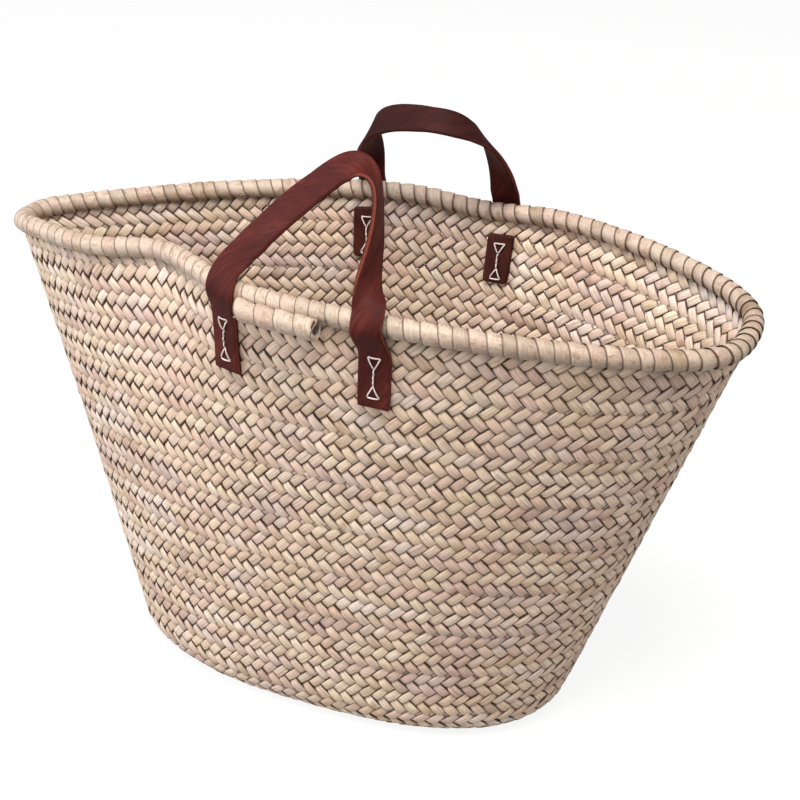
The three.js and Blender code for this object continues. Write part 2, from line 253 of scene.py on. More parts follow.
def mixed(tree, share, first, second):
    values = {"Factor": share, "A": first, "B": second}
    return add(tree, "ShaderNodeMix", {"data_type": "RGBA"}, values)["Result"]


def scaled(tree, vectorOrColour, amount):
    values = {0: vectorOrColour, "Scale": amount}
    return add(tree, "ShaderNodeVectorMath", {"operation": "SCALE"}, values)["Vector"]


# A colour scaled by a light factor of fibre tone and painted shade, then mixed towards the look's painted
# shade colour by paintedShade.
def shaded(tree, colour, light, paintedShade, look):
    return mixed(tree, paintedShade, scaled(tree, colour, light.most(0.03)), paint(*look["shade"]))


def finishLook(tree, shader, colour, roughness, height, look):
    setInput(shader, "Base Color", colour)
    setInput(shader, "Roughness", roughness)
    values = {"Height": height, "Distance": look["bumpDepth"], "Strength": look["bumpStrength"]}
    setInput(shader, "Normal", add(tree, "ShaderNodeBump", None, values)["Normal"])


# The bag's own shape, as the solids have it: the rim's line, the base oval and the sheet between them.
shape = {
    "rimHalfLength": 0.282,
    "rimHalfWidth": 0.113,
    "rimFullness": 0.77,
    "rimTaper": 0.25,
    "rimPinch": 0.0105,
    "rimHeight": 0.348,
    "rimSideRise": 0.010,
    "rimFrontRise": 0.008,
    "rimRightRise": 0.0044,
    "dipAngle": math.radians(246),
    "dipSpread": math.radians(11),
    "dipDepth": 0.0215,
    "dipRise": 0.0032,
    "sagAngle": math.radians(80),
    "sagSpread": math.radians(9),
    "sagDrop": 0.0063,
    "pushFade": 4,
    "spineHalfLength": 0.0804,
    "baseHalfWidth": 0.0933,
    "baseSquareness": 0.85,
    "baseShift": (-0.0092, -0.0023),
    "cornerBend": 0.022,
    "middleHeight": 0.002,
    "underRim": 0.0053,
    "originShift": (0.00004, 0.00352, 0.0),
}


def signedPower(values, power):
    return np.sign(values) * np.abs(values) ** power


# The dip in the front rim and the sag in the rear rim.
def rimPush(angle):
    turned = np.mod(angle, 2 * math.pi)
    dip = np.exp(-((turned - shape["dipAngle"]) / shape["dipSpread"]) ** 2)
    sag = np.exp(-((turned - shape["sagAngle"]) / shape["sagSpread"]) ** 2)
    return np.stack([0 * dip, shape["dipDepth"] * dip, shape["dipRise"] * dip - shape["sagDrop"] * sag], -1)


def rimPoint(angle):
    fullness = signedPower(np.sin(angle), shape["rimFullness"])
    width = shape["rimHalfWidth"] * fullness * (1 + shape["rimTaper"] * np.cos(angle))
    height = shape["rimHeight"] - shape["rimSideRise"] * np.cos(2 * angle)
    height = height - shape["rimFrontRise"] * np.sin(angle) + shape["rimRightRise"] * np.cos(angle)
    across = width - shape["rimPinch"] * np.sin(3 * angle)
    along = shape["rimHalfLength"] * np.cos(angle)
    return np.stack([along, across, height], -1) + shape["originShift"] + rimPush(angle)


def basePoint(fromSpine, angle):
    squareness, (shiftX, shiftY) = shape["baseSquareness"], shape["baseShift"]
    along = shiftX + signedPower(np.cos(angle), squareness) * (shape["spineHalfLength"] + fromSpine)
    across = shiftY + signedPower(np.sin(angle), squareness) * fromSpine
    height = np.full(np.shape(along), shape["middleHeight"])
    return np.stack([along, across, height], -1) + shape["originShift"]


def unit(vectors):
    return vectors / np.linalg.norm(vectors, axis=-1, keepdims=True)


def wallDirection(angle):
    straight = rimPoint(angle) - basePoint(shape["baseHalfWidth"], angle)
    return unit(straight + rimPush(angle) * (shape["pushFade"] - 1))


def wallTop(angle):
    return rimPoint(angle) - wallDirection(angle) * shape["underRim"]


def slantAt(angle):
    return float(np.linalg.norm(wallTop(angle) - basePoint(shape["baseHalfWidth"], angle)))


wallSlant = (slantAt(math.pi / 2) + slantAt(1.5 * math.pi)) / 2
fullWidth = shape["baseHalfWidth"] + wallSlant


# Middle of the plaited sheet: over the base from the spine, round the corner and up the wall.
def sheetPoint(across, angle):
    across, angle = np.broadcast_arrays(np.asarray(across, float), np.asarray(angle, float))
    bend, halfWidth = shape["cornerBend"], shape["baseHalfWidth"]
    edge, push = basePoint(halfWidth, angle), rimPush(angle)
    slope = wallTop(angle) - push - edge
    past = (across - halfWidth)[..., None]
    onBase = basePoint(np.clip(across, 0, None), angle)
    onWall = edge + slope * past / wallSlant + push * np.clip(past / wallSlant, 0, None) ** shape["pushFade"]
    share = np.clip((past + bend) / (2 * bend), 0, 1)
    inner = basePoint(np.full(np.shape(across), halfWidth - bend), angle)
    outer = edge + slope * bend / wallSlant + push * (bend / wallSlant) ** shape["pushFade"]
    before, after = inner * (1 - share) + edge * share, edge * (1 - share) + outer * share
    onCorner = before * (1 - share) + after * share
    return np.where(past <= -bend, onBase, np.where(past >= bend, onWall, onCorner))


def meshObject(name, points, faces):
    mesh = bpy.data.meshes.new(name)
    mesh.from_pydata(np.reshape(points, (-1, 3)).tolist(), [], faces)
    mesh.update()
    mesh.shade_smooth()
    thing = bpy.data.objects.new(name, mesh)
    bpy.context.scene.collection.objects.link(thing)
    return thing


def runningLength(points):
    return np.concatenate([[0], np.cumsum(np.linalg.norm(np.diff(points, axis=0), axis=1))])


def gridFaces(rows, columns):
    return [
        (r * columns + c, r * columns + c + 1, (r + 1) * columns + c + 1, (r + 1) * columns + c)
        for r in range(rows - 1)
        for c in range(columns - 1)
    ]


# Faces of a tube whose rings follow one another in the list of points, with both ends closed.
def tubeFaces(rows, sides, start=0):
    faces = []
    for row in range(rows - 1):
        for side in range(sides):
            a, b = start + row * sides + side, start + row * sides + (side + 1) % sides
            faces.append((a, b, b + sides, a + sides))
    last = start + (rows - 1) * sides
    faces.append(tuple(start + side for side in reversed(range(sides))))
    faces.append(tuple(last + side for side in range(sides)))
    return faces


# Round rings along a line, in the plane of two directions, and the angles of a ring's points.
def ringPoints(line, first, second, radius, sides):
    turn = np.linspace(0, 2 * math.pi, sides, endpoint=False)
    ring = first[:, None] * np.cos(turn)[None, :, None] + second[:, None] * np.sin(turn)[None, :, None]
    return (line[:, None] + radius * ring).reshape(-1, 3), turn


def storeVector(thing, name, values):
    layer = thing.data.attributes.new(name, "FLOAT_VECTOR", "POINT")
    layer.data.foreach_set("vector", np.asarray(values, np.float32).ravel())


def storeFloat(thing, name, values):
    layer = thing.data.attributes.new(name, "FLOAT", "POINT")
    layer.data.foreach_set("value", np.asarray(values, np.float32).ravel())


def finishPiece(thing, material, body, nodes):
    thing.data.materials.clear()
    thing.data.materials.append(material)
    if body:
        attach(thing, body)
    for node in nodes:
        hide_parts(node)


# Plait: one long 2/2 twill strip of slanting leaf strands, coiled from the spine of the base to the rim.
plait = {
    "width": 0.041,
    "pitch": 0.01025,
    "strandWidth": 0.0075,
    "strandThickness": 0.0013,
    "relief": 0.0014,
    "dwell": 0.16,
    "crown": 0.0011,
    "boxiness": 0.1,
    "widths": (0.9, 1.04),
    "thicknesses": (0.8, 1.2),
    "narrowest": 0.93,
    "widening": 0.09,
    "endTaper": 0.002,
    # Slow drifts along a strand: how quickly each changes, where its noise starts, and how far it goes.
    "sway": (70.0, 3.7, 0.0012),
    "heave": (60.0, 23.9, 0.0010),
    "tilt": (110.0, 11.3, 0.22),
    "widthDrift": (90.0, 41.7, 0.05),
    "strandSpread": 7.31,
    "overhang": 0.003,
    "ringsPerStrand": 26,
    "sides": 10,
    "stepsPerTurn": 180,
    "rowsAcross": 12,
    "floorRoom": 0.0032,
    "guideMargin": 0.008,
    "guideTop": 0.004,
    "rimCover": 0.003,
    "cutRoom": -0.0045,
    "weldRoom": -0.0015,
    "weldDistance": 0.00002,
    "strandsBefore": 4,
    "piecesInAll": 6,
    "seed": 7,
}


# Guide for the strands: a sheet whose UV is the place along the strip and across it.
def plaitGuide():
    turns = fullWidth / plait["width"] + 1
    margin, width = plait["guideMargin"], plait["width"]
    stations = np.linspace(0, turns, int(turns * plait["stepsPerTurn"]) + 1)
    angles = 2 * math.pi * stations
    middle = sheetPoint(np.clip((stations - 0.5) * width, 0, fullWidth), angles)
    lengths = runningLength(middle)
    inStrip = np.linspace(-margin, width + margin, plait["rowsAcross"] + 1)
    across = (stations[:, None] - 1) * width + inStrip[None, :]
    points = sheetPoint(np.clip(across, 0, fullWidth + plait["guideTop"]), angles[:, None])
    points[..., 2] = np.maximum(points[..., 2], plait["floorRoom"])
    guide = meshObject("plaitGuide", points, gridFaces(*across.shape))
    room = np.minimum(across, fullWidth + plait["rimCover"] - across)
    room = np.minimum(room, np.minimum(lengths, lengths[-1] - lengths)[:, None])
    storeVector(guide, "place", np.stack([across, room, 0 * across], -1))
    uv = guide.data.uv_layers.new(name="strip")
    u = np.broadcast_to((lengths / lengths[-1])[:, None], across.shape).ravel()
    v = np.broadcast_to(((inStrip + margin) / (width + 2 * margin))[None, :], across.shape).ravel()
    corners = np.empty(len(guide.data.loops), int)
    guide.data.loops.foreach_get("vertex_index", corners)
    uv.data.foreach_set("uv", np.stack([u[corners], v[corners]], -1).astype(np.float32).ravel())
    return guide, float(lengths[-1])


# A tree with one named input for each of the given values.
def geometryTree(name, inputs):
    tree = bpy.data.node_groups.new(name, "GeometryNodeTree")
    kinds = {float: "NodeSocketFloat", int: "NodeSocketInt"}
    for label, value in inputs.items():
        kind = kinds.get(type(value), "NodeSocketObject")
        tree.interface.new_socket(label, in_out="INPUT", socket_type=kind)
    tree.interface.new_socket("Geometry", in_out="OUTPUT", socket_type="NodeSocketGeometry")
    return tree


def runTree(thing, tree, values):
    modifier = thing.modifiers.new(tree.name, "NODES")
    modifier.node_group = tree
    for item in tree.interface.items_tree:
        if item.in_out == "INPUT":
            modifier[item.identifier] = values[item.name]
    return modifier


# What a thing's live modifiers make of it, as a plain mesh.
def plainMesh(thing):
    graph = bpy.context.evaluated_depsgraph_get()
    return bpy.data.meshes.new_from_object(thing.evaluated_get(graph), depsgraph=graph)


def named(tree, name, kind):
    return add(tree, "GeometryNodeInputNamedAttribute", {"data_type": kind}, {"Name": name})[0]


def marked(tree, geometry, name, value, kind, domain):
    values = {"Geometry": geometry, "Name": name, "Value": value}
    return add(tree, "GeometryNodeStoreNamedAttribute", {"data_type": kind, "domain": domain}, values)[0]


# The strands: straight rods laid along both slants of the strip, each pushed over and under the others, then
# carried onto the guide's sheet.
def plaitTree(material, inputs):
    tree = geometryTree("plaitTree", inputs)
    given = add(tree, "NodeGroupInput")
    length, width, margin, pitch = (given[name] for name in ("length", "width", "guideMargin", "pitch"))
    guide = add(tree, "GeometryNodeObjectInfo", {"transform_space": "ORIGINAL"}, {"Object": given["guide"]})
    normals = add(tree, "GeometryNodeCaptureAttribute", {"domain": "POINT"}, {"Geometry": guide["Geometry"]})
    normals.node.capture_items.new("VECTOR", "Normal")
    tree.links.new(add(tree, "GeometryNodeInputNormal")[0].socket, normals.node.inputs["Normal"])
    sheet, sheetNormal = normals["Geometry"], normals["Normal"]
    strip, placeValue = named(tree, "strip", "FLOAT_VECTOR"), named(tree, "place", "FLOAT_VECTOR")
    position = add(tree, "GeometryNodeInputPosition")[0]

    def sampled(value, along, across):
        spot = vector(tree, (along / length).clamped(), (across + margin) / (width + 2 * margin), 0.0)
        values = {"Mesh": sheet, "Value": value, "UV Map": strip, "Sample UV": spot}
        return add(tree, "GeometryNodeSampleUVSurface", {"data_type": "FLOAT_VECTOR"}, values)[0]

    families = []
    for lean in (1, -1):
        blank = add(tree, "GeometryNodeMeshCylinder", {"fill_type": "TRIANGLE_FAN"}, {
            "Vertices": given["sides"],
            "Side Segments": given["rings"],
            "Radius": 1.0,
            "Depth": width + 2 * given["overhang"],
        })["Mesh"]
        line = {"Count": given["count"], "Offset": (0, 0, 0)}
        starts = add(tree, "GeometryNodeMeshLine", {"mode": "OFFSET"}, line)[0]
        placed = add(tree, "GeometryNodeInstanceOnPoints", None, {"Points": starts, "Instance": blank})[0]
        number = add(tree, "GeometryNodeInputIndex")[0] + given["first"]
        numbered = marked(tree, placed, "number", number, "FLOAT", "INSTANCE")
        strands = add(tree, "GeometryNodeRealizeInstances", None, {"Geometry": numbered})[0]
        strand = named(tree, "number", "FLOAT")

        def random(low, high, draw):
            values = {"Min": low, "Max": high, "ID": strand, "Seed": given["seed"] + (draw + lean)}
            return add(tree, "FunctionNodeRandomValue", {"data_type": "FLOAT"}, values)["Value"]

        def drift(name):
            scale, draw, amount = plait[name]
            spot = vector(tree, across * scale, strand * plait["strandSpread"] + draw, float(lean))
            values = {"Vector": spot, "Scale": 1.0, "Detail": 1.0}
            cloud = add(tree, "ShaderNodeTexNoise", {"noise_dimensions": "3D"}, values)
            return (cloud[0] - 0.5) * (2 * amount)

        roundX, roundY, alongZ = parts(tree, position)
        across = alongZ + width / 2
        inside = across.most(0.0).least(width)
        wave = (inside * math.pi / pitch).sine()
        relief = wave / (wave * wave + plait["dwell"]).root() * (lean * math.sqrt(1 + plait["dwell"]))
        stripAlong = strand * pitch - lean * pitch / 4 + across * lean + drift("sway")
        beyond = (-stripAlong).most(stripAlong - length).most(0.0)
        room = parts(tree, sampled(placeValue, stripAlong, across))[1] - beyond
        taper = (room / plait["endTaper"] + 1.0).clamped()
        floating = plait["narrowest"] + (wave * wave) * plait["widening"]
        wide = random(*plait["widths"], 11) + drift("widthDrift")
        halfWidth = given["strandWidth"] / 2 * wide * floating * taper
        halfHigh = given["strandThickness"] / 2 * random(*plait["thicknesses"], 21) * taper
        boxX, boxY = (
            spot * math.sqrt(1 + plait["boxiness"]) / (spot * spot + plait["boxiness"]).root()
            for spot in (roundX, roundY)
        )
        beside = boxX * halfWidth
        tilt = drift("tilt")
        heave = given["relief"] * relief * taper + drift("heave")
        crown = (1 - boxX * boxX) * given["crown"] * wave * lean
        high = heave + boxY * halfHigh + beside * tilt + crown
        root2 = math.sqrt(2)
        here = stripAlong + beside / root2
        there = across - beside * (lean / root2)
        point, facing = sampled(position, here, there), sampled(sheetNormal, here, there)
        outward = add(tree, "ShaderNodeVectorMath", {"operation": "NORMALIZE"}, {0: facing})[0]
        values = {0: point, 1: scaled(tree, outward, high)}
        moved = add(tree, "ShaderNodeVectorMath", {"operation": "ADD"}, values)[0]
        leaf = vector(tree, across * root2, beside, random(0.0, 1.0, 31))
        patch = vector(tree, here, boxX, random(0.0, 1.0, 41))
        shaped = marked(tree, strands, "leaf", leaf, "FLOAT_VECTOR", "POINT")
        shaped = marked(tree, shaped, "patch", patch, "FLOAT_VECTOR", "POINT")
        shaped = marked(tree, shaped, "room", room, "FLOAT", "POINT")
        shaped = add(tree, "GeometryNodeSetPosition", None, {"Geometry": shaped, "Position": moved})[0]
        families.append(shaped)

    both = add(tree, "GeometryNodeJoinGeometry")
    for family in families:
        tree.links.new(family.socket, both.node.inputs[0])
    room = named(tree, "room", "FLOAT")
    values = {"Geometry": both[0], "Selection": room.under(plait["cutRoom"])}
    kept = add(tree, "GeometryNodeDeleteGeometry", {"domain": "POINT", "mode": "ALL"}, values)[0]
    welded = add(tree, "GeometryNodeMergeByDistance", None, {
        "Geometry": kept,
        "Selection": room.under(plait["weldRoom"]),
        "Distance": plait["weldDistance"],
    })[0]
    realized = add(tree, "GeometryNodeRealizeInstances", None, {"Geometry": welded})[0]
    smooth = add(tree, "GeometryNodeSetShadeSmooth", None, {"Geometry": realized})[0]
    finished = add(tree, "GeometryNodeSetMaterial", None, {"Geometry": smooth, "Material": material})[0]
    out = add(tree, "NodeGroupOutput")
    tree.links.new(finished.socket, out.node.inputs[0])
    return tree


def makePlait(material):
    guide, length = plaitGuide()
    strands = int((length + 2 * plait["width"]) / plait["pitch"])
    share = math.ceil(strands / plait["piecesInAll"])
    sizes = (
        "width", "guideMargin", "pitch", "strandWidth", "strandThickness", "relief", "crown", "overhang",
        "sides", "seed",
    )
    inputs = {name: plait[name] for name in sizes}
    inputs.update(guide=guide, length=length, rings=plait["ringsPerStrand"] - 1, first=0, count=share)
    tree = plaitTree(material, inputs)
    seat = meshObject("plaitSeat", [(0, 0, 0)], [])
    made = []
    for part in range(plait["piecesInAll"]):
        modifier = runTree(seat, tree, {**inputs, "first": part * share - plait["strandsBefore"]})
        name = f"palm_plait_{part + 1}"
        mesh = plainMesh(seat)
        mesh.name = name
        piece = bpy.data.objects.new(name, mesh)
        bpy.context.scene.collection.objects.link(piece)
        seat.modifiers.remove(modifier)
        made.append(piece)
        finishPiece(piece, material, "basket", ["palm_braid"])
    bpy.data.objects.remove(seat)
    bpy.data.objects.remove(guide)
    return made


# Palm leaf: dry fibres along each strand, and tones that drift over the wall, along each row and from
# strand to strand, with painted shade at the strands' sides and edges, in their creases, where they dive
# under one another and near the strip's edges under the rim. A grain is the noise's three scales, its detail
# and its roughness.
palmLook = {
    "zone": ((11, 11, 26), 2, 0.6),
    "row": ((10, 7.7, 1), 2, 0.6),
    "blotch": ((38, 50, 9), 2, 0.6),
    "fibre": ((45, 1000, 83), 3, 0.75),
    "fine": ((260, 3600, 31), 2, 0.6),
    "zoneColours": [
        (0.34, (180, 165, 163)), (0.43, (194, 168, 152)), (0.50, (202, 176, 157)), (0.57, (196, 176, 144)),
        (0.66, (214, 198, 188)),
    ],
    "rowColours": [
        (0.30, (148, 121, 110)), (0.41, (180, 148, 134)), (0.49, (198, 172, 157)), (0.58, (204, 184, 158)),
        (0.68, (216, 200, 192)),
    ],
    "strandColours": [
        (0.00, (132, 102, 88)), (0.10, (172, 136, 110)), (0.30, (196, 164, 144)), (0.55, (204, 180, 162)),
        (0.80, (206, 186, 150)), (0.93, (222, 208, 198)), (1.00, (160, 150, 134)),
    ],
    "rowShare": 0.42,
    "strandShare": 0.27,
    "stain": (146, 104, 72),
    "stainDepth": 0.5,
    "shade": (66, 40, 24),
    "fibreDepth": 1.5,
    "fineDepth": 0.6,
    "sideDepth": 0.16,
    "creaseDepth": 0.3,
    "beneathDepth": 0.62,
    "edgeDepth": 0.8,
    "diveDepth": 0.85,
    "scatter": 0.005,
    "roughness": (0.5, 0.3),
    "bumpDepth": 0.0003,
    "bumpStrength": 0.8,
}


def plaitMaterial():
    look = palmLook
    material, tree, shader = newMaterial("palmLeaf")
    along, beside, strandTone = spotOf(tree, "leaf")
    stripAlong, acrossStrand, chance = spotOf(tree, "patch")
    inStrip = along / math.sqrt(2)
    row = (inStrip / plait["pitch"]).whole()
    zone = noise(tree, parts(tree, add(tree, "ShaderNodeTexCoord")["Object"]), look["zone"])
    rowTone = noise(tree, (stripAlong, row, 3.1), look["row"])
    blotch = noise(tree, (stripAlong, inStrip, strandTone), look["blotch"])
    fibre = noise(tree, (along, beside, strandTone), look["fibre"])
    fine = noise(tree, (along, beside, strandTone), look["fine"])
    colour = coloured(tree, zone, look["zoneColours"])
    colour = mixed(tree, look["rowShare"], colour, coloured(tree, rowTone, look["rowColours"]))
    colour = mixed(tree, look["strandShare"], colour, coloured(tree, strandTone, look["strandColours"]))
    stained = blotch.between(0.6, 0.72) * chance.between(0.5, 0.6) * look["stainDepth"]
    colour = mixed(tree, stained, colour, paint(*look["stain"]))
    # Painted shade: edge darkens each strand's long edges, where the gaps between strands lie, and side
    # darkens its rounded sides.
    edge, side = acrossStrand.size().between(0.84, 0.97), acrossStrand.size().between(0.4, 1.0)
    # Painted shade where the strands dive under one another at the row boundaries.
    dive = 1 - (inStrip * (math.pi / plait["pitch"])).sine().size().between(0.03, 0.36)
    scatter = (chance - 0.5) * look["scatter"]
    # Painted shade within a few mm of the strip's edges and ends, which is chiefly where the strip runs under
    # the rim wrap.
    stripEdgeShade = 1 - (attribute(tree, "room")["Fac"] + scatter).between(0.0025, 0.0085)
    # A fold line along some strands: dented in the bump, and darkened in the colour as painted shade.
    crease = 1 - (beside - scatter).size().between(0.0001, 0.0005)
    crease = crease * (1 - (strandTone * 7.0).part().between(0.12, 0.14))
    # light holds the fibre tone and multiplies in the painted shade of the sides, creases and strip edges.
    light = 0.98 + (fibre - 0.5) * look["fibreDepth"] + (fine - 0.5) * look["fineDepth"]
    light = light * (1 - side * side * look["sideDepth"]) * (1 - crease * look["creaseDepth"])
    light = light * (1 - stripEdgeShade * look["beneathDepth"])
    paintedShade = 1 - (1 - edge * edge * look["edgeDepth"]) * (1 - dive * dive * look["diveDepth"])
    roughness = look["roughness"][0] + fibre * look["roughness"][1]
    height = fibre * 0.7 + fine * 0.3 - crease * 0.5
    finishLook(tree, shader, shaded(tree, colour, light, paintedShade, look), roughness, height, look)
    return material


plaitPieces = makePlait(plaitMaterial())
plaitFaces = sum(len(piece.data.polygons) for piece in plaitPieces)
print("plait woven:", len(plaitPieces), "pieces,", plaitFaces, "faces")


# A winding leaf: a ribbon wound round a bundle, each turn's left edge lying on the turn before it.
winding = {"overlap": 0.15, "edgeLift": 1.6, "liftFall": 2.2, "snipsPerTurn": 9}


def windLeaf(name, frames, length, leaf, radiusAt):
    chance = np.random.default_rng(leaf["seed"])
    turns = round(length / leaf["pitch"])
    count = turns * leaf["stepsPerTurn"]
    turn = np.arange(count + 1) / leaf["stepsPerTurn"]
    knots = np.arange(turns + 2)
    drift = np.interp(turn, knots, chance.uniform(-1, 1, turns + 2)) * leaf["drift"]
    tone = np.interp(turn, knots, chance.uniform(0, 1, turns + 2))
    swell = 1 + np.interp(turn, knots, chance.uniform(-1, 1, turns + 2)) * leaf["swell"]
    v = np.linspace(0, 1, leaf["stepsAcross"] + 1)[None, :]
    middle = turn * length / turns + drift
    following = np.interp(turn + 1, turn, middle) + np.clip(turn + 1 - turns, 0, None) * leaf["pitch"]
    place = middle[:, None] + (v - winding["overlap"]) * leaf["width"]
    edgeRoom = following[:, None] - winding["overlap"] * leaf["width"] - place
    snips = turns * winding["snipsPerTurn"]
    rag = np.interp(turn, np.linspace(0, turns, snips), chance.uniform(-1, 0.3, snips))
    rag = rag * leaf.get("ragged", 0)
    place = np.clip(place, 0, leaf.get("cutAt", length + leaf["width"]) + rag[:, None])
    bare = leaf["pitch"] / leaf["width"]
    acrossBare = np.clip(v / bare, 0, 1)
    hump = np.sin(np.pi * acrossBare)
    lift = leaf["thickness"] * (winding["edgeLift"] - winding["liftFall"] * acrossBare) + leaf["puff"] * hump
    radius = radiusAt(place) + lift * swell[:, None]
    below = (-2 * np.pi * turn)[:, None]
    centre, rise, out = frames(place)
    points = centre + out * (radius * np.sin(below))[..., None] - rise * (radius * np.cos(below))[..., None]
    thing = meshObject(name, points, gridFaces(*place.shape))
    along = np.broadcast_to((turn * 2 * np.pi * leaf["radius"])[:, None], place.shape)
    aside = np.broadcast_to(v * leaf["width"], place.shape)
    marks = np.stack([along, aside, np.broadcast_to(tone[:, None], place.shape)], -1)
    storeVector(thing, "leaf", marks)
    storeFloat(thing, "edgeRoom", edgeRoom)
    return thing


def thicken(thing, thickness):
    modifier = thing.modifiers.new("thickness", "SOLIDIFY")
    modifier.thickness = thickness
    modifier.offset = -1.0
    mesh = plainMesh(thing)
    thing.modifiers.clear()
    thing.data = mesh


# Rim: a bundle of leaves on the wall's upper edge, bound with a wide pale leaf.
rim = {
    "radius": 0.007,
    "leafRadius": 0.0061,
    "coreRadius": 0.0049,
    "coreLeaves": 7,
    "coreTwist": 0.09,
    "coreGap": 0.0004,
    "coreStops": 360,
    "jointX": -0.043,
    "pitch": 0.0106,
    "width": 0.0150,
    "thickness": 0.0005,
    "puff": 0.0004,
    "drift": 0.0022,
    "swell": 0.4,
    "stepsPerTurn": 28,
    "stepsAcross": 8,
    "angleRoom": 0.2,
    "angleSteps": 3600,
    "seed": 3,
}


def frontAngle(x):
    return 2 * math.pi - np.arccos(x / shape["rimHalfLength"])


def sideAngle(x, side):
    return frontAngle(x) if side < 0 else np.arccos(x / shape["rimHalfLength"])


def rimFrames(angle):
    along = unit(rimPoint(angle + turnStep) - rimPoint(angle - turnStep))
    rise = wallDirection(angle)
    out = unit(np.cross(along, rise))
    return rimPoint(angle), unit(np.cross(out, along)), out


rimTurn = np.linspace(-rim["angleRoom"], 2 * math.pi + rim["angleRoom"], rim["angleSteps"])
rimAngles = frontAngle(rim["jointX"]) + rimTurn
rimPlaces = runningLength(rimPoint(rimAngles))
rimPlaces = rimPlaces - np.interp(frontAngle(rim["jointX"]), rimAngles, rimPlaces)
rimLength = float(np.interp(frontAngle(rim["jointX"]) + 2 * math.pi, rimAngles, rimPlaces))


def framesAlongRim(place):
    return rimFrames(np.interp(place, rimPlaces, rimAngles))


def makeRimWrap(material):
    wrap = windLeaf("rim_wrap_leaf", framesAlongRim, rimLength, rim, lambda place: rim["leafRadius"])
    thicken(wrap, rim["thickness"])
    finishPiece(wrap, material, "basket", ["rim_wrap"])


# A bundle of round leaves twisted about a line of frames.
def twistedBundle(name, frames, stops, radius, leaves, twist, sides=6):
    centre, rise, out = frames(stops)
    points, faces, marks = [], [], []
    leafRadius = radius / (1 + 1 / math.sin(math.pi / leaves))
    reach = radius - leafRadius
    for leaf in range(leaves):
        turn = 2 * math.pi * leaf / leaves + 2 * math.pi * stops / twist
        middle = centre + out * (reach * np.cos(turn))[:, None] + rise * (reach * np.sin(turn))[:, None]
        faces += tubeFaces(len(stops), sides, len(points))
        rings, around = ringPoints(middle, out, rise, leafRadius, sides)
        points.extend(rings)
        marks.extend([(stop, leafRadius * a, leaf / leaves) for stop in stops for a in around])
    bundle = meshObject(name, points, faces)
    storeVector(bundle, "leaf", marks)
    return bundle


def makeRimCore(material):
    stops = np.linspace(rim["coreGap"], rimLength - rim["coreGap"], rim["coreStops"])
    sizes = rim["coreRadius"], rim["coreLeaves"], rim["coreTwist"]
    core = twistedBundle("rim_core_bundle", framesAlongRim, stops, *sizes)
    finishPiece(core, material, "basket", ["rim_core"])


# Rim tail: the bundle's other end, which runs on in front of the rim and is cut open.
tail = {
    "startX": -0.0308,
    "endX": 0.0335,
    "radius": 0.0066,
    "drop": math.radians(18),
    "gap": 0.0002,
    "pitch": 0.0136,
    "width": 0.0185,
    "ragged": 0.0028,
    "thickness": 0.0006,
    "puff": 0.0004,
    "drift": 0.0012,
    "swell": 0.5,
    "flare": 0.0010,
    "stepsPerTurn": 30,
    "stepsAcross": 8,
    "overrun": 0.009,
    "leaves": 9,
    "leafRoom": 0.0016,
    "twist": 0.12,
    "bundleStart": 0.008,
    "bundleStops": 12,
    "cutDepths": (0.004, 0.011),
    "cutSeed": 5,
    "seed": 11,
}


def framesAlongTail(place):
    first, last = frontAngle(tail["startX"]), frontAngle(tail["endX"])
    share = np.asarray(place) / tailLength
    centre, rise, out = rimFrames(first + (last - first) * share)
    spacing = rim["radius"] + tail["radius"] + tail["gap"]
    shift = out * math.cos(tail["drop"]) - rise * math.sin(tail["drop"])
    return centre + shift * spacing, rise, out


tailEnds = rimPoint(frontAngle(np.array([tail["startX"], tail["endX"]])))
tailLength = float(np.linalg.norm(tailEnds[1] - tailEnds[0]))


def tailRadius(place):
    flare = tail["flare"] * np.abs(2 * place / tailLength - 1) ** 6
    return tail["radius"] - tail["thickness"] + flare


def makeRimTail(material, coreMaterial):
    leaf = dict(tail, cutAt=tailLength)
    wound = windLeaf("rim_tail_leaf", framesAlongTail, tailLength + tail["overrun"], leaf, tailRadius)
    thicken(wound, tail["thickness"])
    finishPiece(wound, material, "basket", ["rim_tail"])
    depth = np.random.default_rng(tail["cutSeed"]).uniform(*tail["cutDepths"])
    stops = np.linspace(tail["bundleStart"], tailLength - depth, tail["bundleStops"])
    sizes = tail["radius"] - tail["leafRoom"], tail["leaves"], tail["twist"]
    stuffing = twistedBundle("rim_tail_bundle", framesAlongTail, stops, *sizes)
    finishPiece(stuffing, coreMaterial, "basket", ["rim_tail"])


# Seam cord: a thin leaf cord in the seam between one turn of the plait and the next.
cord = {"radius": 0.0009, "startTurn": 0.25, "endBeforeTop": 0.15, "stops": 1900, "sides": 5}


def makeSeamCord(material):
    turns = np.linspace(cord["startTurn"], fullWidth / plait["width"] - cord["endBeforeTop"], cord["stops"])
    centre = sheetPoint(turns * plait["width"], 2 * math.pi * turns)
    along = unit(np.gradient(centre, axis=0))
    across = sheetPoint(turns * plait["width"] + mm, 2 * math.pi * turns) - centre
    across = unit(across - along * (across * along).sum(-1, keepdims=True))
    points, around = ringPoints(centre, across, np.cross(along, across), cord["radius"], cord["sides"])
    thing = meshObject("seam_cord_run", points, tubeFaces(len(turns), cord["sides"]))
    marks = np.stack(np.broadcast_arrays(runningLength(centre)[:, None], around[None, :], 0.5), -1)
    storeVector(thing, "leaf", marks)
    finishPiece(thing, material, "basket", ["seam_cord"])


